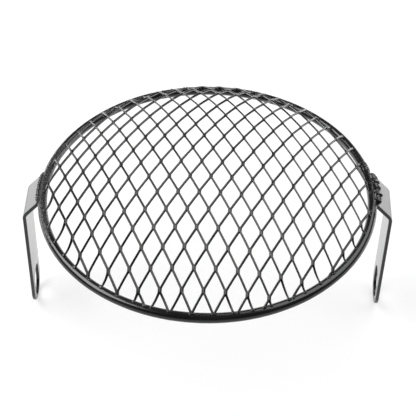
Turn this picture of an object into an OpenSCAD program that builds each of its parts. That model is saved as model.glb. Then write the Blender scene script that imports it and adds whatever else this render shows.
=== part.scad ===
// Stone guard for a round motorcycle headlight: a hoop of round rod, a domed panel of raised
// expanded metal welded on top of it, and two bent strip brackets with a slot for the lamp's side bolts.
// Millimetres. +Z goes from the lamp out through the dome, X goes from bracket to bracket.
// The origin is on the hoop's axis, level with the middle of both slots.

/* [Hoop] */
// diameter of the hoop through the middle of its rod
ring_d = 166; // [120:0.5:220]
// thickness of the round rod
rod_d = 4.5; // [3:0.1:8]
// height of the hoop's middle above the slots' middle
ring_height = 69.5; // [45:0.5:110]

/* [Mesh] */
// short way of a diamond before the panel is domed, from one row of knuckles to the next but one
mesh_short = 9.98; // [6:0.01:16]
// long way of a diamond before the panel is domed
mesh_long = 20.15; // [12:0.01:32]
// width of one strand across its cut face
strand_w = 0.9; // [0.5:0.05:2]
// thickness of the sheet that the mesh is slit from
sheet_t = 1.2; // [0.5:0.05:2]
// lean of the strands, from the raised way that the sheet is left in after slitting
strand_lean = 50; // [20:1:70]
// length of a knuckle, where two strands stay joined
knuckle_len = 1.8; // [1:0.1:5]
// turn of the pattern on the hoop
mesh_turn = -3; // [-20:0.5:20]
// shift of the pattern across the hoop
mesh_shift_x = -2.5; // [-5:0.1:5]
// shift of the pattern from the lower to the upper side of the hoop
mesh_shift_y = -5.4; // [-10:0.1:10]
// rise of the dome from the hoop to its top
dome_rise = 21; // [8:0.5:40]
// fullness of the dome's shoulders, 0 is a plain shallow bowl
dome_full = 0.22; // [0:0.01:0.6]
// share by which doming draws the flat pattern in at the rim
rim_draw = 0.028; // [0:0.001:0.08]
// how far the strands' ends reach past the middle of the rod
mesh_lap = 0.9; // [0:0.1:2]
// height of the panel's mid plane over the top of the rod
mesh_lift = 0.65; // [0.2:0.05:2]

/* [Brackets] */
// width of the flat strip
strip_w = 22; // [14:0.5:36]
// thickness of the flat strip
strip_t = 1.8; // [1:0.1:4]
// inside radius of the strip's bend
bend_r = 4; // [1:0.5:8]
// slope of the short arm that comes down from the hoop
arm_slope = 46; // [30:1:60]
// how far the arm's middle line passes outside the middle of the rod
arm_offset = 0.7; // [0:0.1:1.2]
// width of the bolt slot
slot_w = 12.5; // [6:0.1:16]
// length of the bolt slot over its round ends
slot_len = 20; // [14:0.1:36]
// gap from the rod to the inner face of the left leg, level with the hoop
left_stand = 6.4; // [5:0.1:16]
// gap from the rod to the inner face of the right leg, level with the hoop
right_stand = 7.6; // [5:0.1:16]
// outward lean of the left leg
left_splay = 3; // [0:0.1:6]
// outward lean of the right leg
right_splay = 1.4; // [0:0.1:6]
// turn of the left leg about its own height
left_toe = 1.6; // [0:0.1:8]
// turn of the right leg about its own height
right_toe = 4.8; // [0:0.1:8]
// land of metal under the left slot
left_land = 1.9; // [1:0.1:8]
// land of metal under the right slot
right_land = 3.4; // [1:0.1:8]

/* [Welds] */
// thickness of the bead that holds each bracket to the hoop
bead_d = 3; // [2:0.1:5]
// share by which the left bead swells and narrows along its way
left_ripple = 0.18; // [0:0.01:0.4]
// share by which the right bead swells and narrows along its way
right_ripple = 0.3; // [0:0.01:0.4]
// width of the tack that holds each strand's end
tack_d = 2.2; // [1.6:0.1:4]
// thickness of the weld that closes the hoop, outside its rod
seam_rise = 0.7; // [0.3:0.1:1.5]
// length of the weld that closes the hoop
seam_len = 7; // [4:0.5:12]
// place of the weld that closes the hoop, round from the right bracket
seam_angle = 11.5; // [11:0.5:40]

/* [Hidden] */
$fn = 96;
ring_r = ring_d / 2;
rod_r = rod_d / 2;
black = [0.05, 0.05, 0.055];

// ---- mesh: a lattice of knuckles, each joined by strands to its four neighbours
col_step = mesh_short / 2;
row_step = mesh_long / 2;
mesh_edge = ring_r + mesh_lap;
mesh_seat = ring_height + rod_r + mesh_lift;
// flat radius that the doming draws in to the panel's edge
edge_a = mesh_edge / (1 - rim_draw * pow(mesh_edge / ring_r, 2));
edge_b = mesh_edge / (1 - rim_draw * pow(edge_a / ring_r, 2));
flat_edge = mesh_edge / (1 - rim_draw * pow(edge_b / ring_r, 2));
shift_x = mesh_shift_x;
shift_y = mesh_shift_y;
cols = ceil((flat_edge + abs(shift_x)) / col_step) + 1;
rows = ceil((flat_edge + abs(shift_y)) / row_step) + 1;
across = [cos(strand_lean), 0, sin(strand_lean)];
through = [-sin(strand_lean), 0, cos(strand_lean)];
half_mid = strand_w / 2 * cos(strand_lean);

function dome_z(r) = dome_rise * (1 - pow(r / ring_r, 2)) * (1 + dome_full * pow(r / ring_r, 2));
function dome_slope(r) =
    dome_rise * 2 * r / pow(ring_r, 2) * (dome_full - 1 - 2 * dome_full * pow(r / ring_r, 2));

// puts a point of the flat panel on the dome, its height along the dome's normal
function on_dome(p) =
    let (
        x = p[0] * cos(mesh_turn) - p[1] * sin(mesh_turn),
        y = p[0] * sin(mesh_turn) + p[1] * cos(mesh_turn),
        flat_r = max(norm([x, y]), 0.000001),
        r = flat_r * (1 - rim_draw * pow(flat_r / ring_r, 2)),
        slope = dome_slope(r),
        tall = norm([1, slope]),
        out = r - p[2] * slope / tall
    )
    [x / flat_r * out, y / flat_r * out, mesh_seat + dome_z(r) + p[2] / tall];

function knuckle_x(c) = c * col_step + shift_x;
function knuckle_y(v) = v * row_step + shift_y;
// half the height of the panel's edge circle where a column crosses it
function reach(c) = abs(knuckle_x(c)) < flat_edge ? sqrt(pow(flat_edge, 2) - pow(knuckle_x(c), 2)) : 0;
function low_end(c, v) = max(knuckle_y(v) - knuckle_len / 2, -reach(c));
function high_end(c, v) = min(knuckle_y(v) + knuckle_len / 2, reach(c));
function on_grid(c, v) = abs(c) <= cols && abs(v) <= rows;
function kept(c, v) = on_grid(c, v) && high_end(c, v) - low_end(c, v) > knuckle_len / 4;
function goes_up(c, v) = kept(c, v) && high_end(c, v) > knuckle_y(v) + knuckle_len / 2 - 0.001;
function goes_down(c, v) = kept(c, v) && low_end(c, v) < knuckle_y(v) - knuckle_len / 2 + 0.001;

// one corner of a knuckle: end 0 is the lower and 1 the upper, side -1 to 1 across, face -1 or 1
function corner(c, v, end, side, face) =
    [knuckle_x(c), end == 0 ? low_end(c, v) : high_end(c, v), 0]
    + side * strand_w * across + face * sheet_t / 2 * through;
// the same corner on a knuckle that the edge would cut off
function whole_corner(c, v, end, side, face) =
    [knuckle_x(c), knuckle_y(v) + (end - 0.5) * knuckle_len, 0]
    + side * strand_w * across + face * sheet_t / 2 * through;

// the strand that leaves knuckle (c, v) upwards, way -1 to the left or 1 to the right
function strand_foot(c, v, way, side, face) = whole_corner(c, v, 1, side + (way - 1) / 2, face);
function strand_head(c, v, way, side, face) = whole_corner(c + way, v + 1, 0, side - (way + 1) / 2, face);
function foot_mid(c, v, way) = [knuckle_x(c) + way * half_mid, knuckle_y(v) + knuckle_len / 2];
function head_mid(c, v, way) =
    [knuckle_x(c + way) - way * half_mid, knuckle_y(v + 1) - knuckle_len / 2];
// share of the way from a to b at which the panel's edge cuts the line
function edge_share(a, b) =
    let (
        d = b - a,
        qa = d * d,
        qb = 2 * (a * d),
        qc = a * a - pow(flat_edge, 2),
        root = qc > 0 ? 0 : (-qb + sqrt(qb * qb - 4 * qa * qc)) / (2 * qa)
    )
    min(0.94, max(0.12, root));
function cut_share(c, v, way) =
    goes_up(c, v) ? edge_share(foot_mid(c, v, way), head_mid(c, v, way))
    : 1 - edge_share(head_mid(c, v, way), foot_mid(c, v, way));
function strand_kind(c, v, way) =
    let (
        low = goes_up(c, v),
        high = on_grid(c + way, v + 1) && goes_down(c + way, v + 1)
    )
    low && high ? "whole" : low ? "rising" : high ? "falling" : "none";

grid = [for (c = [-cols : cols]) for (v = [-rows : rows]) if ((c + v) % 2 == 0) [c, v]];
function rank(c, v) =
    let (
        odd = abs(c + cols) % 2,
        first_odd = abs(-cols - rows) % 2,
        pairs = floor((c + cols) / 2),
        even_col = rows + (first_odd == 0 ? 1 : 0),
        odd_col = rows + (first_odd == 0 ? 0 : 1)
    )
    pairs * (even_col + odd_col) + odd * even_col + floor((v + rows) / 2);

mesh_points = [
    for (g = grid)
        let (c = g[0], v = g[1])
        each concat(
            [for (end = [0, 1]) for (side = [-1, 0, 1]) for (face = [-1, 1])
                on_dome(corner(c, v, end, side, face))],
            [for (way = [-1, 1])
                let (share = strand_kind(c, v, way) == "rising" || strand_kind(c, v, way) == "falling"
                    ? cut_share(c, v, way) : 0)
                for (k = [[0, -1], [1, -1], [1, 1], [0, 1]])
                    on_dome(strand_foot(c, v, way, k[0], k[1]) * (1 - share)
                        + strand_head(c, v, way, k[0], k[1]) * share)]
        )
];

function at(c, v, end, side, face) = 20 * rank(c, v) + end * 6 + (side + 1) * 2 + (face + 1) / 2;
function section(c, v, end, side) =
    [at(c, v, end, side, -1), at(c, v, end, side + 1, -1), at(c, v, end, side + 1, 1),
     at(c, v, end, side, 1)];
function cut_section(c, v, way) =
    [for (k = [0 : 3]) 20 * rank(c, v) + 12 + (way > 0 ? 4 : 0) + k];
function quad(a, b, c, d) = [[a, c, b], [a, d, c]];
function tube(a, b) = [for (k = [0 : 3]) each quad(a[k], a[(k + 1) % 4], b[(k + 1) % 4], b[k])];
function cap_high(s) = quad(s[0], s[1], s[2], s[3]);
function cap_low(s) = quad(s[3], s[2], s[1], s[0]);

function knuckle_faces(c, v) = concat(
    quad(at(c, v, 0, -1, 1), at(c, v, 1, -1, 1), at(c, v, 1, 0, 1), at(c, v, 0, 0, 1)),
    quad(at(c, v, 0, 0, 1), at(c, v, 1, 0, 1), at(c, v, 1, 1, 1), at(c, v, 0, 1, 1)),
    quad(at(c, v, 0, -1, -1), at(c, v, 0, 0, -1), at(c, v, 1, 0, -1), at(c, v, 1, -1, -1)),
    quad(at(c, v, 0, 0, -1), at(c, v, 0, 1, -1), at(c, v, 1, 1, -1), at(c, v, 1, 0, -1)),
    quad(at(c, v, 0, -1, -1), at(c, v, 1, -1, -1), at(c, v, 1, -1, 1), at(c, v, 0, -1, 1)),
    quad(at(c, v, 0, 1, -1), at(c, v, 0, 1, 1), at(c, v, 1, 1, 1), at(c, v, 1, 1, -1))
);
// closes a knuckle's end on each side where no strand leaves it
function knuckle_caps(c, v) = [
    for (way = [-1, 1])
        each concat(
            goes_up(c, v) ? [] : cap_high(section(c, v, 1, (way - 1) / 2)),
            goes_down(c, v) ? [] : cap_low(section(c, v, 0, (way - 1) / 2))
        )
];
function strand_faces(c, v, way) =
    let (
        kind = strand_kind(c, v, way),
        foot = section(c, v, 1, (way - 1) / 2),
        head = section(c + way, v + 1, 0, -(way + 1) / 2),
        cut = cut_section(c, v, way)
    )
    kind == "whole" ? tube(foot, head)
    : kind == "rising" ? concat(tube(foot, cut), cap_high(cut))
    : kind == "falling" ? concat(tube(cut, head), cap_low(cut))
    : [];

mesh_faces = [
    for (g = grid)
        let (c = g[0], v = g[1])
        each concat(
            kept(c, v) ? concat(knuckle_faces(c, v), knuckle_caps(c, v)) : [],
            strand_faces(c, v, -1),
            strand_faces(c, v, 1)
        )
];

// where each strand or cut knuckle ends on the rod
mesh_ends = [
    for (g = grid)
        let (c = g[0], v = g[1])
        each concat(
            [for (way = [-1, 1])
                let (kind = strand_kind(c, v, way))
                if (kind == "rising" || kind == "falling")
                    let (share = cut_share(c, v, way))
                    on_dome(concat(foot_mid(c, v, way) * (1 - share) + head_mid(c, v, way) * share, 0))],
            kept(c, v) && !goes_up(c, v) ? [on_dome([knuckle_x(c), high_end(c, v), 0])] : [],
            kept(c, v) && !goes_down(c, v) ? [on_dome([knuckle_x(c), low_end(c, v), 0])] : []
        )
];

// ---- brackets
function leg_x(stand) = ring_r + rod_r + stand;
function slot_x(stand, splay) = leg_x(stand) + ring_height * tan(splay);

bend_steps = 14;
function arc_points(r, from, to) = [
    for (i = [0 : bend_steps])
        let (a = from + (to - from) * i / bend_steps)
        [r * cos(a), r * sin(a)]
];

// outline of the bent strip seen from its edge, with the slot's middle at the origin
module strip_outline(stand, splay, land) {
    tall = arm_slope + splay;
    rod_x = (ring_r - slot_x(stand, splay)) * cos(splay) + ring_height * sin(splay);
    rod_z = -(ring_r - slot_x(stand, splay)) * sin(splay) + ring_height * cos(splay);
    end_x = rod_x + arm_offset * sin(tall);
    end_z = rod_z + arm_offset * cos(tall);
    arm = (strip_t / 2 - end_x) / cos(tall);
    corner_z = end_z - arm * sin(tall);
    turn = 90 - tall;
    mid_r = bend_r + strip_t / 2;
    back = mid_r * tan(turn / 2);
    bottom = -slot_len / 2 - land;
    middle = [-bend_r, corner_z - back];
    along = (arm - back) * [-sin(turn), cos(turn)];
    outside = arc_points(bend_r + strip_t, 0, turn);
    inside = arc_points(bend_r, turn, 0);
    polygon(concat(
        [[strip_t, bottom]],
        [for (p = outside) middle + p],
        [middle + outside[bend_steps] + along],
        [middle + inside[0] + along],
        [for (p = inside) middle + p],
        [[0, bottom]]
    ));
}

// face of the strip, with its round end and slot
module strip_face(land) {
    end_z = -slot_len / 2 - land;
    difference() {
        union() {
            translate([-strip_w / 2, end_z + strip_w / 2])
                square([strip_w, 2 * ring_height]);
            translate([0, end_z + strip_w / 2])
                circle(d = strip_w);
        }
        translate([-slot_w / 2, -(slot_len - slot_w) / 2])
            square([slot_w, slot_len - slot_w]);
        translate([0, (slot_len - slot_w) / 2])
            circle(d = slot_w);
        translate([0, -(slot_len - slot_w) / 2])
            circle(d = slot_w);
    }
}

module hoop_rod(r) {
    translate([0, 0, ring_height])
        rotate([0, 0, 90])
            rotate_extrude()
                translate([ring_r, 0])
                    rotate(135)
                        circle(r = r);
}

// bracket on the right, its arm's end cut to the shape of the rod it is welded to
module bracket(stand, splay, toe, land) {
    difference() {
        translate([slot_x(stand, splay), 0, 0])
            rotate([0, 0, -toe])
                rotate([0, -splay, 0])
                    intersection() {
                        rotate([90, 0, 0])
                            linear_extrude(height = strip_w, center = true)
                                strip_outline(stand, splay, land);
                        rotate([90, 0, 90])
                            linear_extrude(height = 4 * (stand + strip_w), center = true)
                                strip_face(land);
                    }
        hoop_rod(rod_r);
    }
}

// ---- welds
// closes a row of equal rings of points into one solid
function skin(count, sides) = concat(
    [for (i = [0 : count - 2]) for (k = [0 : sides - 1])
        each quad(i * sides + k, (i + 1) * sides + k, (i + 1) * sides + (k + 1) % sides,
            i * sides + (k + 1) % sides)],
    [[for (k = [sides - 1 : -1 : 0]) k]],
    [[for (k = [0 : sides - 1]) (count - 1) * sides + k]]
);
bead_sides = 8;
bead_steps = 24;
bead_half = asin(min(0.9, (strip_w / 2 + 0.4) / ring_r));
// bead laid in the corner between the rod and the arm, swelling where each puddle set
module bead(ripple, puddles) {
    rings = [
        for (i = [0 : bead_steps])
            let (
                s = i / bead_steps,
                a = -bead_half + 2 * bead_half * s,
                body = sqrt(max(0.08, 1 - pow(2 * s - 1, 6))),
                r = bead_d / 2 * body * (1 + ripple * sin(360 * puddles * s)),
                lean = 24 + 30 * ripple * cos(360 * (puddles - 1.5) * s),
                mid_r = ring_r + (rod_r + 0.1) * cos(lean),
                mid_z = ring_height + (rod_r + 0.1) * sin(lean)
            )
            [for (k = [0 : bead_sides - 1])
                let (t = 360 * k / bead_sides, out = mid_r + r * cos(t))
                [out * cos(a), out * sin(a), mid_z + 0.8 * r * sin(t)]]
    ];
    polyhedron(points = [for (ring = rings) each ring], faces = skin(bead_steps + 1, bead_sides),
        convexity = 6);
}

tack_sides = 6;
// tack of weld over a strand's end, squat and a little longer along the rod
module tacks() {
    rings = [[80, 0.2], [48, 0.7], [0, 1], [-55, 0.62]];
    for (n = [0 : len(mesh_ends) - 1])
        let (
            e = mesh_ends[n],
            size = tack_d / 2 * (1 + 0.16 * sin(n * 137)),
            a = atan2(e[1], e[0]),
            r = min(norm([e[0], e[1]]), ring_r + mesh_lap) - 0.3 * mesh_lap,
            z = ring_height + sqrt(max(0, pow(rod_r, 2) - pow(r - ring_r, 2)))
        )
        translate([r * cos(a), r * sin(a), z])
            rotate([0, 0, a])
                polyhedron(
                    points = [for (ring = rings) for (k = [0 : tack_sides - 1])
                        let (t = 360 * k / tack_sides)
                        [size * 0.85 * ring[1] * cos(t), size * 1.1 * ring[1] * sin(t),
                            size * 0.8 * sin(ring[0])]],
                    faces = skin(len(rings), tack_sides),
                    convexity = 4
                );
}

seam_steps = 8;
seam_sides = 12;
// collar of weld where the bent rod's two ends meet
module seam() {
    rings = [
        for (i = [0 : seam_steps])
            let (
                s = i / seam_steps,
                a = seam_angle + (s - 0.5) * seam_len / ring_r * 180 / PI,
                r = rod_r + seam_rise * (sqrt(max(0.04, 1 - pow(2 * s - 1, 4))) + 0.25 * sin(720 * s))
                    - 0.15
            )
            [for (k = [0 : seam_sides - 1])
                let (t = 360 * k / seam_sides, out = ring_r + r * cos(t))
                [out * cos(a), out * sin(a), ring_height + r * sin(t)]]
    ];
    polyhedron(points = [for (ring = rings) each ring], faces = skin(seam_steps + 1, seam_sides),
        convexity = 4);
}

module hoop() {
    color(black)
        hoop_rod(rod_r);
}

module mesh() {
    color(black)
        polyhedron(points = mesh_points, faces = mesh_faces, convexity = 10);
}

module left_bracket() {
    color(black)
        mirror([1, 0, 0])
            bracket(left_stand, left_splay, left_toe, left_land);
}

module right_bracket() {
    color(black)
        bracket(right_stand, right_splay, right_toe, right_land);
}

module left_bracket_weld() {
    color(black)
        mirror([1, 0, 0])
            bead(left_ripple, 6);
}

module right_bracket_weld() {
    color(black)
        bead(right_ripple, 5);
}

module mesh_tacks() {
    color(black)
        tacks();
}

module hoop_seam() {
    color(black)
        seam();
}

hoop();
mesh();
left_bracket();
right_bracket();
left_bracket_weld();
right_bracket_weld();
mesh_tacks();
hoop_seam();
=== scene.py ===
import math

import bmesh
import bpy
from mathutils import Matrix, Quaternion, Vector, noise


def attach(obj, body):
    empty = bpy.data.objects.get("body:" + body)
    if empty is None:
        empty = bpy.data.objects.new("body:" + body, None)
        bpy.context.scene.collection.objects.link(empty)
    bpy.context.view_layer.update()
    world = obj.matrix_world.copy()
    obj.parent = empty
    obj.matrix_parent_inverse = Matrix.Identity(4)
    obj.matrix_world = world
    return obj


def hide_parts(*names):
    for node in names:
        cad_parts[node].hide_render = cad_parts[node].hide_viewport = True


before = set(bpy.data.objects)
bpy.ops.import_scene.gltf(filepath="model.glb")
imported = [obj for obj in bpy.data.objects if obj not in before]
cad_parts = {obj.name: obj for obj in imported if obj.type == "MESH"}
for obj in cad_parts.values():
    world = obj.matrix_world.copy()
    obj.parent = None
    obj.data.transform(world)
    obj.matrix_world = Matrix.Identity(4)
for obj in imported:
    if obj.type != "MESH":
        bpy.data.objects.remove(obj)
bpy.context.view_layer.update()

# ---- Camera
# The guard was photographed from in front and above, 44 degrees down, through a long lens that was
# turned by a third of a degree.
mm = 0.001
camera = bpy.data.objects.new("camera", bpy.data.cameras.new("camera"))
bpy.context.collection.objects.link(camera)
camera.data.lens = 77.285
camera.location = (0, -331.16 * mm, 378.99 * mm)
camera.rotation_mode = "QUATERNION"
looking_down = Vector((0.00074, 0.71628, -0.69782)).to_track_quat("-Z", "Y")
camera.rotation_quaternion = looking_down @ Quaternion((0, 0, 1), math.radians(0.355))
bpy.context.scene.camera = camera

# ---- Studio
# White paper lies under the guard and rises behind it. A large soft lamp hangs high on each side, a
# small one stands low behind each bracket, and the room is dim. The guard stands on the round ends
# of its legs, and the right one reaches 1.5 mm lower.
floor_mesh = bpy.data.meshes.new("floor")
floor = bpy.data.objects.new("floor", floor_mesh)
bpy.context.collection.objects.link(floor)
left_foot, right_foot = Vector((-95.9, 0, -11.9)) * mm, Vector((94.9, 0, -13.4)) * mm
across_floor = (right_foot - left_foot).normalized()
floor_reach, foot_gap = 6, 0.05 * mm
floor_middle = (left_foot + right_foot) / 2 - Vector((0, 0, foot_gap))
floor_corners = [floor_middle + across_floor * x * floor_reach + Vector((0, y * floor_reach, 0))
                 for x, y in ((-1, -1), (1, -1), (1, 1), (-1, 1))]
floor_mesh.from_pydata(floor_corners, [], [(0, 1, 2, 3)])

# the paper is pale grey in the lamps' light and is lifted to white for the eye, and what the gloss
# mirrors of it is dark in front of the guard and paler behind
paper_tone, paper_lift, paper_mirrored, mirror_fade = 0.5, 0.54, 0.42, 0.06
sweep = bpy.data.materials.new("white_sweep")
sweep.use_nodes = True
nodes, links = sweep.node_tree.nodes, sweep.node_tree.links
nodes.clear()
sheet = nodes.new("ShaderNodeBsdfDiffuse")
sheet.inputs["Color"].default_value = (paper_tone, paper_tone, paper_tone, 1)
glow = nodes.new("ShaderNodeEmission")
path = nodes.new("ShaderNodeLightPath")
seen = nodes.new("ShaderNodeMath")
seen.operation = "MAXIMUM"
lift = nodes.new("ShaderNodeMix")
lift.inputs[3].default_value = paper_lift
where = nodes.new("ShaderNodeTexCoord")
way = nodes.new("ShaderNodeSeparateXYZ")
further_back = nodes.new("ShaderNodeMapRange")
further_back.interpolation_type = "SMOOTHSTEP"
further_back.inputs["From Min"].default_value = -mirror_fade
further_back.inputs["From Max"].default_value = mirror_fade
further_back.inputs["To Max"].default_value = paper_mirrored
mirror_lift = nodes.new("ShaderNodeMath")
mirror_lift.operation = "MULTIPLY"
lit_sheet = nodes.new("ShaderNodeAddShader")
out = nodes.new("ShaderNodeOutputMaterial")
links.new(path.outputs["Is Camera Ray"], seen.inputs[0])
links.new(path.outputs["Is Transmission Ray"], seen.inputs[1])
links.new(where.outputs["Object"], way.inputs[0])
links.new(way.outputs["Y"], further_back.inputs["Value"])
links.new(further_back.outputs["Result"], mirror_lift.inputs[0])
links.new(path.outputs["Is Glossy Ray"], mirror_lift.inputs[1])
links.new(seen.outputs[0], lift.inputs[0])
links.new(mirror_lift.outputs[0], lift.inputs[2])
links.new(lift.outputs[0], glow.inputs["Strength"])
links.new(sheet.outputs[0], lit_sheet.inputs[0])
links.new(glow.outputs[0], lit_sheet.inputs[1])
links.new(lit_sheet.outputs[0], out.inputs["Surface"])
floor_mesh.materials.append(sweep)

# the gloss mirrors the risen paper behind the guard and the dim room elsewhere
room_tone, dim_room, risen_paper = 0.55, 0.06, 0.6
room = bpy.data.worlds.new("room")
bpy.context.scene.world = room
room.use_nodes = True
nodes, links = room.node_tree.nodes, room.node_tree.links
nodes.clear()
path = nodes.new("ShaderNodeLightPath")
seen = nodes.new("ShaderNodeMath")
seen.operation = "MAXIMUM"
where = nodes.new("ShaderNodeTexCoord")
way = nodes.new("ShaderNodeSeparateXYZ")
behind = nodes.new("ShaderNodeMapRange")
behind.interpolation_type = "SMOOTHSTEP"
behind.inputs["From Min"].default_value, behind.inputs["From Max"].default_value = 0.0, 0.35
low_down = nodes.new("ShaderNodeMapRange")
low_down.interpolation_type = "SMOOTHSTEP"
low_down.inputs["From Min"].default_value, low_down.inputs["From Max"].default_value = 0.30, 0.12
paper = nodes.new("ShaderNodeMath")
paper.operation = "MULTIPLY"
mirrored = nodes.new("ShaderNodeMapRange")
mirrored.inputs["To Min"].default_value = dim_room
mirrored.inputs["To Max"].default_value = risen_paper
plain = nodes.new("ShaderNodeMix")
plain.inputs[2].default_value = room_tone
shown = nodes.new("ShaderNodeMix")
shown.inputs[3].default_value = 1.0
backdrop = nodes.new("ShaderNodeBackground")
out = nodes.new("ShaderNodeOutputWorld")
links.new(where.outputs["Generated"], way.inputs[0])
links.new(way.outputs["Y"], behind.inputs["Value"])
links.new(way.outputs["Z"], low_down.inputs["Value"])
links.new(behind.outputs["Result"], paper.inputs[0])
links.new(low_down.outputs["Result"], paper.inputs[1])
links.new(paper.outputs[0], mirrored.inputs["Value"])
links.new(path.outputs["Is Glossy Ray"], plain.inputs[0])
links.new(mirrored.outputs["Result"], plain.inputs[3])
links.new(path.outputs["Is Camera Ray"], seen.inputs[0])
links.new(path.outputs["Is Transmission Ray"], seen.inputs[1])
links.new(seen.outputs[0], shown.inputs[0])
links.new(plain.outputs[0], shown.inputs[2])
links.new(shown.outputs[0], backdrop.inputs["Strength"])
links.new(backdrop.outputs[0], out.inputs["Surface"])


def soft_lamp(name, place, aim, wide, tall, watts):
    """A rectangular soft lamp at a place, turned to shine at another."""
    lamp = bpy.data.objects.new(name, bpy.data.lights.new(name, "AREA"))
    bpy.context.collection.objects.link(lamp)
    lamp.data.shape = "RECTANGLE"
    lamp.data.size, lamp.data.size_y = wide, tall
    lamp.data.energy = watts
    lamp.location = place
    lamp.rotation_mode = "QUATERNION"
    lamp.rotation_quaternion = (Vector(aim) - Vector(place)).to_track_quat("-Z", "Y")


soft_lamp("left_lamp", (-0.70, 0.06, 0.88), (0, 0, 0.07), 1.1, 0.62, 8.3)
soft_lamp("right_lamp", (0.52, 0.28, 0.88), (0, 0, 0.07), 1.1, 0.85, 4.6)
soft_lamp("left_back_lamp", (-0.30, 0.21, 0.03), (-0.09, 0, 0.067), 0.26, 0.085, 0.055)
soft_lamp("right_back_lamp", (0.30, 0.21, 0.03), (0.09, 0, 0.067), 0.26, 0.085, 0.06)
bpy.context.scene.view_settings.view_transform = "Standard"

# ---- Hoop
# 4.5 mm round mild steel rod, bent into a ring by hand and welded shut, then sprayed gloss black.
# The bending leaves it a little uneven, and the paint has a fine orange peel.
ring_r, rod_r, ring_height = 83.0, 2.25, 69.5
paint_t, bend_wobble, paint_ripple = 0.1, 0.1, 0.03


def gloss_black(name, peel, gloss, spatter=None):
    """Thick glossy black paint with orange peel of the given size in mm and small changes of gloss.
    Weld spatter roughens it further left and further right than the two given places, in mm."""
    paint = bpy.data.materials.new(name)
    paint.use_nodes = True
    nodes, links = paint.node_tree.nodes, paint.node_tree.links
    shader = nodes["Principled BSDF"]
    shader.inputs["IOR"].default_value = 1.5
    shader.inputs["Coat Weight"].default_value = 1.0
    shader.inputs["Coat Roughness"].default_value = gloss * 0.7
    place = nodes.new("ShaderNodeTexCoord")
    haze = nodes.new("ShaderNodeTexNoise")
    haze.inputs["Scale"].default_value = 60
    haze.inputs["Detail"].default_value = 4
    tone = nodes.new("ShaderNodeValToRGB")
    darker, paler = tone.color_ramp.elements
    darker.position, paler.position = 0.35, 0.7
    darker.color = (0.005, 0.005, 0.0055, 1)
    paler.color = (0.010, 0.010, 0.011, 1)
    sheen = nodes.new("ShaderNodeMapRange")
    sheen.inputs["To Min"].default_value = gloss - 0.05
    sheen.inputs["To Max"].default_value = gloss + 0.09
    peel_noise = nodes.new("ShaderNodeTexNoise")
    peel_noise.inputs["Scale"].default_value = 1 / (peel * mm)
    peel_noise.inputs["Detail"].default_value = 2
    relief = nodes.new("ShaderNodeBump")
    relief.inputs["Strength"].default_value = 0.35
    relief.inputs["Distance"].default_value = 0.02 * peel * mm
    links.new(place.outputs["Object"], haze.inputs["Vector"])
    links.new(place.outputs["Object"], peel_noise.inputs["Vector"])
    links.new(haze.outputs["Fac"], tone.inputs["Fac"])
    links.new(tone.outputs["Color"], shader.inputs["Base Color"])
    links.new(haze.outputs["Fac"], sheen.inputs["Value"])
    links.new(sheen.outputs["Result"], shader.inputs["Roughness"])
    links.new(peel_noise.outputs["Fac"], relief.inputs["Height"])
    if spatter is not None:
        left_x, right_x = spatter
        grit_size, grit_rise, left_fade, right_fade = 1.1, 0.6, 5, 2
        way = nodes.new("ShaderNodeSeparateXYZ")
        near_left = nodes.new("ShaderNodeMapRange")
        near_left.inputs["From Min"].default_value = (left_x + left_fade) * mm
        near_left.inputs["From Max"].default_value = left_x * mm
        near_right = nodes.new("ShaderNodeMapRange")
        near_right.inputs["From Min"].default_value = (right_x - right_fade) * mm
        near_right.inputs["From Max"].default_value = right_x * mm
        near_weld = nodes.new("ShaderNodeMath")
        near_weld.operation = "MAXIMUM"
        grit = nodes.new("ShaderNodeTexNoise")
        grit.inputs["Scale"].default_value = 1 / (grit_size * mm)
        grit.inputs["Detail"].default_value = 3
        height = nodes.new("ShaderNodeMath")
        height.operation = "MULTIPLY"
        bumps = nodes.new("ShaderNodeBump")
        bumps.inputs["Strength"].default_value = 1.0
        bumps.inputs["Distance"].default_value = grit_rise * mm
        links.new(place.outputs["Object"], way.inputs[0])
        links.new(way.outputs["X"], near_left.inputs["Value"])
        links.new(way.outputs["X"], near_right.inputs["Value"])
        links.new(near_left.outputs["Result"], near_weld.inputs[0])
        links.new(near_right.outputs["Result"], near_weld.inputs[1])
        links.new(place.outputs["Object"], grit.inputs["Vector"])
        links.new(grit.outputs["Fac"], height.inputs[0])
        links.new(near_weld.outputs[0], height.inputs[1])
        links.new(height.outputs[0], bumps.inputs["Height"])
        links.new(relief.outputs["Normal"], bumps.inputs["Normal"])
        relief = bumps
    links.new(relief.outputs["Normal"], shader.inputs["Normal"])
    links.new(relief.outputs["Normal"], shader.inputs["Coat Normal"])
    return paint


def solid(name, points, faces, paint, node):
    """A painted piece that rides with the guard and stands for one of its solids."""
    mesh = bpy.data.meshes.new(name)
    mesh.from_pydata([Vector(p) * mm for p in points], [], faces)
    mesh.materials.append(paint)
    mesh.shade_smooth()
    piece = bpy.data.objects.new(name, mesh)
    bpy.context.collection.objects.link(piece)
    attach(piece, "root")
    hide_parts(node)


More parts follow.
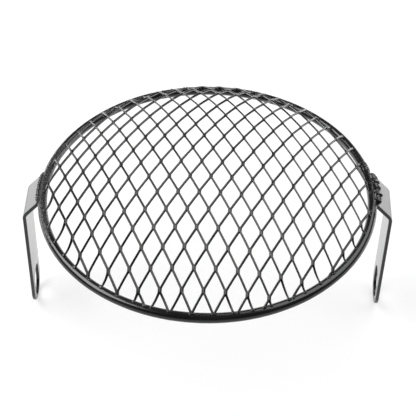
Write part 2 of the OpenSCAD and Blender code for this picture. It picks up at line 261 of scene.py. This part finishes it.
hoop_steps, hoop_sides = 420, 20
points, faces = [], []
for i in range(hoop_steps):
    a = math.tau * i / hoop_steps
    drift = noise.noise(Vector((3 * math.cos(a), 3 * math.sin(a), 0.7)))
    rise = noise.noise(Vector((2.5 * math.cos(a), 2.5 * math.sin(a), 9.1)))
    here, ahead = i * hoop_sides, (i + 1) % hoop_steps * hoop_sides
    for k in range(hoop_sides):
        t = math.tau * k / hoop_sides
        round_rod = 1.2 * math.cos(t) + math.sin(t)
        fine = noise.noise(Vector((30 * math.cos(a), 30 * math.sin(a), round_rod)))
        thick = rod_r + paint_t + paint_ripple * fine
        r = ring_r + bend_wobble * drift + thick * math.cos(t)
        z = ring_height + bend_wobble * rise + thick * math.sin(t)
        points.append((r * math.cos(a), r * math.sin(a), z))
        beside = (k + 1) % hoop_sides
        faces.append((here + k, ahead + k, ahead + beside, here + beside))
solid("hoop_rod", points, faces, gloss_black("hoop_paint", 0.9, 0.2, (-78, 84)), "hoop")

# ---- Mesh panel
# 10 x 20 mm raised expanded metal: a 1.2 mm sheet slit and stretched into one net of zigzag strands
# that stay joined in pairs at the knuckles, then pressed into a shallow dome. Its strands lean, as
# the stretching turns them. It was cut to the hoop, a little further in at the left and right.
mesh_short, mesh_long, knuckle_len, knuckle_wander = 9.98, 20.15, 1.8, 0.1
strand_w, sheet_t, strand_lean, corner_r = 0.9, 1.2, math.radians(50), 0.16
mesh_turn, shift_x, shift_y = math.radians(-3), -2.5, -5.4
dome_rise, dome_full, rim_draw = 21.0, 0.22, 0.028
mesh_lap, mesh_lift, side_trim = 0.1, 0.65, 1.3
end_press, side_press, press_len, rim_bow = 0.3, 0.8, 5, 1.0
mesh_edge, mesh_seat = ring_r + mesh_lap, ring_height + rod_r + mesh_lift
flat_edge = mesh_edge
for again in range(3):
    flat_edge = mesh_edge / (1 - rim_draw * (flat_edge / ring_r) ** 2)


def cut(x, y):
    """How far the point of the flat panel lies outside the line where the panel was cut."""
    r = max(math.hypot(x, y), 1e-6)
    return r - flat_edge + side_trim * (x / r) ** 2


def on_dome(x, y, z):
    """Puts a point of the flat panel on the dome, z along the dome's normal."""
    x, y = (x * math.cos(mesh_turn) - y * math.sin(mesh_turn),
            x * math.sin(mesh_turn) + y * math.cos(mesh_turn))
    flat_r = max(math.hypot(x, y), 1e-6)
    r = flat_r * (1 - rim_draw * (flat_r / ring_r) ** 2)
    s = (r / ring_r) ** 2
    height = dome_rise * (1 - s) * (1 + dome_full * s)
    slope = dome_rise * 2 * r / ring_r ** 2 * (dome_full - 1 - 2 * dome_full * s)
    tall = math.hypot(1, slope)
    out = r - z * slope / tall
    # the ends are pressed down on the rod, further at the left and right, on its inner side
    side = (x / flat_r) ** 2
    near_end = min(1, max(0, (r - ring_r + side_trim * side + press_len) / press_len))
    pressed = (end_press + side_press * side) * near_end ** 2
    return (x / flat_r * out, y / flat_r * out, mesh_seat + height - pressed + z / tall)


def knuckle(c, v):
    """Where a knuckle lies in the flat panel. No two come out of the press quite alike."""
    across = knuckle_wander * noise.noise(Vector((c * 1.7, v * 2.3, 4.4)))
    along = knuckle_wander * noise.noise(Vector((c * 1.7, v * 2.3, 9.8)))
    return c * mesh_short / 2 + shift_x + across, v * mesh_long / 2 + shift_y + along


def strand_path(j, low, high):
    """Middle line of the zigzag strand between columns j and j + 1. Each point is (x, y, how far it
    is joined to the next strand, the side on which it is free)."""
    line = []
    for v in range(low, high + 1):
        on_left = (j + v) % 2 == 0
        side = 1 if on_left else -1
        x, y = knuckle(j if on_left else j + 1, v)
        x += side * strand_w / 2 * math.cos(strand_lean)
        for share, joined in ((-0.5, 0.8), (-0.25, 1), (0.25, 1), (0.5, 0.8)):
            line.append((x, y + share * knuckle_len, joined, side))
        nx, ny = knuckle(j + 1 if on_left else j, v + 1)
        nx -= side * strand_w / 2 * math.cos(strand_lean)
        y0, y1 = y + knuckle_len / 2, ny - knuckle_len / 2
        for step in range(1, 8):
            u = step / 8
            line.append((x + (nx - x) * u, y0 + (y1 - y0) * u, 0, side))
    return line


def bow(u, steps):
    """How far a stretch at the rim hangs down, at the share u of its length."""
    return rim_bow * 4 * u * (1 - u) * min(1, steps / 6)


def strand_ring(x, y, joined, side, sag):
    """Section of a strand, its free corners rounded by shearing and paint."""
    ring = []
    for a, t, free in ((1, 1, side), (-1, 1, -side), (-1, -1, -side), (1, -1, side)):
        # the corners on the knuckle's middle stay square while the strand is joined there
        r = corner_r if free > 0 or joined < 0.5 else 0.01
        for da, dt in ((0, r), (r, 0)) if a * t > 0 else ((r, 0), (0, r)):
            w = a * (strand_w / 2 - da)
            h = t * (sheet_t / 2 - dt)
            ring.append(on_dome(x + w * math.cos(strand_lean) - h * math.sin(strand_lean), y,
                                w * math.sin(strand_lean) + h * math.cos(strand_lean) - sag))
    return ring


def tube_faces(first, rings, sides):
    """Faces of a bar with closed ends, from the rings of points that start at the given one."""
    bar = []
    for at in range(first, first + (rings - 1) * sides, sides):
        for k in range(sides):
            beside = (k + 1) % sides
            bar.append((at + k, at + sides + k, at + sides + beside, at + beside))
    bar.append(tuple(first + k for k in range(sides)))
    bar.append(tuple(first + (rings - 1) * sides + k for k in range(sides - 1, -1, -1)))
    return bar


strand_sides, shortest_stub = 8, 2.5
points, faces, strand_ends = [], [], []
half_rows = int(flat_edge / (mesh_long / 2)) + 3
half_cols = int(flat_edge / (mesh_short / 2)) + 3
for j in range(-half_cols, half_cols):
    line = strand_path(j, -half_rows, half_rows)
    inside = [cut(x, y) < 0 for x, y, joined, side in line]
    start = None
    for n in range(len(line) + 1):
        here = n < len(line) and inside[n]
        if here and start is None:
            start = n
        if here or start is None:
            continue
        run = line[start:n]
        for outer, inner, put in ((start - 1, start, 0), (n, n - 1, len(run))):
            if 0 <= outer < len(line):
                a, b = line[inner], line[outer]
                within, beyond = cut(a[0], a[1]), cut(b[0], b[1])
                f = -within / max(beyond - within, 1e-6)
                run.insert(put, (a[0] + (b[0] - a[0]) * f, a[1] + (b[1] - a[1]) * f, a[2], a[3]))
        start = None
        if abs(run[-1][1] - run[0][1]) < shortest_stub:
            continue
        first, last = len(points), len(run) - 1
        knots = [i for i, p in enumerate(run) if p[2] > 0.5]
        for i, (x, y, joined, side) in enumerate(run):
            # the stretch between the last knuckle and the rod was pressed down a little
            sag = 0
            if knots and i < knots[0]:
                sag = bow(i / knots[0], knots[0])
            if knots and i > knots[-1]:
                sag = bow((i - knots[-1]) / (last - knots[-1]), last - knots[-1])
            points.extend(strand_ring(x, y, joined, side, sag))
        faces.extend(tube_faces(first, len(run), strand_sides))
        for end, before in ((run[0], run[1]), (run[-1], run[-2])):
            strand_ends.append([Vector(on_dome(p[0], p[1], 0)) for p in (end, before)])
solid("mesh_panel", points, faces, gloss_black("mesh_paint", 0.5, 0.22), "mesh")

# ---- Brackets
# 22 x 1.8 mm flat steel strip, cut to a round end, punched with a slot and bent once. The sheared
# edges are rounded over by the paint.
strip_w, strip_t, bend_r, arm_slope, arm_offset = 22.0, 1.8, 4.0, 46.0, 0.7
arm_short, slot_w, slot_len, strip_edge_r = 1.1, 12.5, 20.0, 0.5
bracket_paint = gloss_black("bracket_paint", 1.1, 0.18)


def bent_strip(name, node, mirror, stand, splay, toe, land):
    """A bracket. Its leg stands off the hoop by stand mm, leans out by splay degrees and is turned
    by toe degrees, and land mm of metal are left below its slot."""
    splay_turn, toe_turn = math.radians(splay), math.radians(toe)
    slot_x = ring_r + rod_r + stand + ring_height * math.tan(splay_turn)
    tall = math.radians(arm_slope + splay)
    rod_x = (ring_r - slot_x) * math.cos(splay_turn) + ring_height * math.sin(splay_turn)
    rod_z = -(ring_r - slot_x) * math.sin(splay_turn) + ring_height * math.cos(splay_turn)
    end_x, end_z = rod_x + arm_offset * math.sin(tall), rod_z + arm_offset * math.cos(tall)
    arm = (strip_t / 2 - end_x) / math.cos(tall)
    turn = math.pi / 2 - tall
    mid_r = bend_r + strip_t / 2
    back = mid_r * math.tan(turn / 2)
    straight = end_z - arm * math.sin(tall) - back
    reach = straight + mid_r * turn + arm - back - arm_short
    half = strip_w / 2

    def bent(across, up):
        """A point of the flat strip's middle, up being measured along it from the slot's middle."""
        if up <= straight:
            return (strip_t / 2, across, up)
        if up <= straight + mid_r * turn:
            a = (up - straight) / mid_r
            return (strip_t / 2 - mid_r + mid_r * math.cos(a), across,
                    straight + mid_r * math.sin(a))
        rest = up - straight - mid_r * turn
        return (strip_t / 2 - mid_r + mid_r * math.cos(turn) - rest * math.sin(turn), across,
                straight + mid_r * math.sin(turn) + rest * math.cos(turn))

    # the foot: a band of faces from the slot out to the strip's edge
    across_steps, side_steps, round_steps = 14, 8, 26
    foot_top, centre = slot_len / 2 + 5, half - slot_len / 2 - land
    edge_loop = [(half - strip_w * n / across_steps, foot_top) for n in range(across_steps)]
    edge_loop += [(-half, foot_top + (centre - foot_top) * n / side_steps)
                  for n in range(side_steps)]
    edge_loop += [(half * math.cos(a), centre + half * math.sin(a))
                  for a in (math.pi * (1 + n / round_steps) for n in range(round_steps))]
    edge_loop += [(half, centre + (foot_top - centre) * n / side_steps)
                  for n in range(side_steps)]
    slot_loop, slot_far = [], (slot_len - slot_w) / 2
    for x, y in edge_loop:
        c, s = x / math.hypot(x, y), y / math.hypot(x, y)
        t = slot_w / 2 / max(abs(c), 1e-9)
        if t * abs(s) > slot_far:
            t = abs(s) * slot_far
            t += math.sqrt((s * slot_far) ** 2 - slot_far ** 2 + (slot_w / 2) ** 2)
        slot_loop.append((t * c, t * s))
    work = bmesh.new()
    count = len(edge_loop)
    low = [work.verts.new(bent(x, y)) for x, y in slot_loop]
    rim = [work.verts.new(bent(x, y)) for x, y in edge_loop]
    for i in range(count):
        work.faces.new((low[i], low[(i + 1) % count], rim[(i + 1) % count], rim[i]))

    # the leg, the bend and the arm go on from the band's top edge
    bend_end = straight + mid_r * turn
    stations = [foot_top + (straight - foot_top) * n / 6 for n in range(1, 7)]
    stations += [straight + mid_r * turn * n / 12 for n in range(1, 13)]
    stations += [bend_end + (reach - straight - mid_r * turn) * n / 4 for n in range(1, 5)]
    row = rim[:across_steps + 1]
    for up in stations:
        new = [work.verts.new(bent(x, up)) for x, y in edge_loop[:across_steps + 1]]
        for i in range(across_steps):
            work.faces.new((row[i], row[i + 1], new[i + 1], new[i]))
        row = new
    bmesh.ops.recalc_face_normals(work, faces=work.faces)
    place = Quaternion((0, 0, 1), -toe_turn) @ Quaternion((0, 1, 0), -splay_turn)
    for v in work.verts:
        p = place @ v.co + Vector((slot_x, 0, 0))
        v.co = Vector((-p.x if mirror else p.x, p.y, p.z)) * mm
    mesh = bpy.data.meshes.new(name)
    work.to_mesh(mesh)
    work.free()
    mesh.materials.append(bracket_paint)
    mesh.shade_smooth()
    piece = bpy.data.objects.new(name, mesh)
    bpy.context.collection.objects.link(piece)
    thick = piece.modifiers.new("thickness", "SOLIDIFY")
    thick.thickness, thick.offset = strip_t * mm, 0
    round_over = piece.modifiers.new("edges", "BEVEL")
    round_over.width, round_over.segments = strip_edge_r * mm, 4
    round_over.limit_method, round_over.angle_limit = "ANGLE", math.radians(50)
    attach(piece, "root")
    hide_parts(node)


bent_strip("left_strip", "left_bracket", True, 6.4, 3.0, 1.6, 1.9)
bent_strip("right_strip", "right_bracket", False, 7.6, 1.4, 4.8, 3.4)

# ---- Left bracket's weld
# Bead run along the corner between the rod and the arm, laid in small even puddles that overlap
# like scales, then painted with the rest.
bead_r, bead_over, bead_lean, bead_flat = 1.5, 0.4, 19, 0.85
weld_paint = gloss_black("weld_paint", 0.6, 0.2)


def weld_bead(name, node, mirror, puddles, swell, thick, lumps):
    """A bead on the rod's outer side, in the given number of puddles. Each lump on it is (mm along,
    degrees round, mm high, mm long, degrees wide)."""
    steps, sides = 170, 30
    half_turn = math.asin((strip_w / 2 + bead_over) / ring_r)
    points = []
    for i in range(steps + 1):
        s = i / steps
        a = half_turn * (2 * s - 1)
        along = a * ring_r
        body = math.sqrt(max(0.02, 1 - (2 * s - 1) ** 6))
        beat = s * puddles + 0.15 * math.sin(9 * s + puddles)
        scale_edge = abs(math.sin(math.pi * beat)) ** 0.5
        lean = math.radians(bead_lean + 6 * noise.noise(Vector((along * 0.35, puddles, 1.3))))
        mid_r = ring_r + (rod_r + paint_t) * math.cos(lean)
        mid_z = ring_height + (rod_r + paint_t) * math.sin(lean)
        for k in range(sides):
            t = math.tau * k / sides
            rough = Vector((along * 0.9, 1.6 * math.cos(t), 1.6 * math.sin(t) + puddles))
            size = bead_r * thick * body * (1 - swell + swell * 1.6 * scale_edge)
            size += 0.10 * noise.noise(rough)
            for where, angle, high, long, wide in lumps:
                turn = (math.degrees(t) - angle + 180) % 360 - 180
                size += high * body * math.exp(-((along - where) / long) ** 2 - (turn / wide) ** 2)
            out = mid_r + size * math.cos(t)
            points.append((out * math.cos(a) * (-1 if mirror else 1), out * math.sin(a),
                           mid_z + bead_flat * size * math.sin(t)))
    faces = tube_faces(0, steps + 1, sides)
    if mirror:
        faces = [face[::-1] for face in faces]
    solid(name, points, faces, weld_paint, node)


weld_bead("left_bead", "left_bracket_weld", True, 13, 0.42, 0.72, [
    (-9.5, 70, 0.35, 1.2, 50), (-5.0, 95, 0.2, 1.0, 60), (8.0, 60, 0.25, 1.2, 50)])

# ---- Right bracket's weld
# The same joint, but run too cold and gone over twice: a thick, lumpy bead with ridges across it
# and a knob at its far end.
weld_bead("right_bead", "right_bracket_weld", False, 5, 0.25, 1.2, [
    (10.3, 95, 1.2, 1.5, 70), (7.0, 20, 0.9, 1.5, 45), (6.0, 120, 0.8, 1.6, 45),
    (3.6, 50, 1.1, 0.8, 80), (0.5, 10, 0.9, 2.2, 30), (-2.6, 100, 0.5, 1.7, 50),
    (-4.8, 30, 1.2, 0.9, 75), (-7.2, 5, 0.9, 1.2, 30), (-7.8, 75, 0.9, 0.8, 60),
    (-9.8, 40, 1.2, 1.3, 60), (-10.2, 140, 0.7, 1.3, 40)])

# ---- Tacks
# Each strand's end is held to the rod by a small tack of weld, which runs up the strand a little.
# No two hold the same amount of metal.
tack_rings, tack_sides, tack_drag = 7, 14, 0.5
straight_up = Vector((0, 0, 1))
points, faces = [], []
for n, (end, before) in enumerate(strand_ends):
    a = math.atan2(end.y, end.x)
    r = min(math.hypot(end.x, end.y), ring_r + mesh_lap) - 0.3 * mesh_lap
    lean = math.asin((r - ring_r) / rod_r)
    radial, around = Vector((math.cos(a), math.sin(a), 0)), Vector((-math.sin(a), math.cos(a), 0))
    up = radial * math.sin(lean) + straight_up * math.cos(lean)
    over = radial * math.cos(lean) - straight_up * math.sin(lean)
    seat = radial * (ring_r + rod_r * math.sin(lean))
    seat += Vector((0, 0, ring_height + rod_r * math.cos(lean)))
    drag = (before - end).normalized()
    luck = noise.noise(Vector((n * 3.7, 0.2, 5.1)))
    wide, deep, high = 1.15 + 0.45 * luck, 0.95 + 0.2 * luck, 0.62 + 0.2 * luck
    faces.extend(tube_faces(len(points), tack_rings, tack_sides))
    for i in range(tack_rings):
        t = math.pi / 2 * (1.25 - 1.23 * i / (tack_rings - 1))
        for k in range(tack_sides):
            u = math.tau * k / tack_sides
            rough = 1 + 0.16 * noise.noise(Vector((2 * math.cos(u), 2 * math.sin(u), t + n * 1.9)))
            p = seat + around * wide * rough * math.sin(t) * math.cos(u)
            p += over * deep * rough * math.sin(t) * math.sin(u)
            p += up * high * math.cos(t) * rough + drag * tack_drag * max(0, math.cos(t)) ** 2
            points.append(p)
solid("tacks", points, faces, weld_paint, "mesh_tacks")

# ---- Hoop's seam
# The rod's two ends meet beside the right bracket and are closed by a weld all round, only lightly
# ground, so a low rippled collar is left.
seam_angle, seam_len, seam_rise, seam_sunk = math.radians(11.5), 7.0, 0.7, 0.12
seam_steps, seam_sides = 44, 36
points = []
for i in range(seam_steps + 1):
    s = i / seam_steps
    a = seam_angle + (s - 0.5) * seam_len / ring_r
    body = math.sqrt(max(0.0, 1 - (2 * s - 1) ** 4))
    for k in range(seam_sides):
        t = math.tau * k / seam_sides
        scales = 0.22 * abs(math.sin(math.pi * (s * 4 + 0.4 * math.sin(t)))) ** 0.6
        rough = 0.14 * noise.noise(Vector((s * 5, 2 * math.cos(t), 2 * math.sin(t))))
        thick = rod_r - seam_sunk + seam_rise * body * (0.62 + scales + rough)
        r = ring_r + thick * math.cos(t)
        points.append((r * math.cos(a), r * math.sin(a), ring_height + thick * math.sin(t)))
solid("seam_collar", points, tube_faces(0, seam_steps + 1, seam_sides), weld_paint, "hoop_seam")
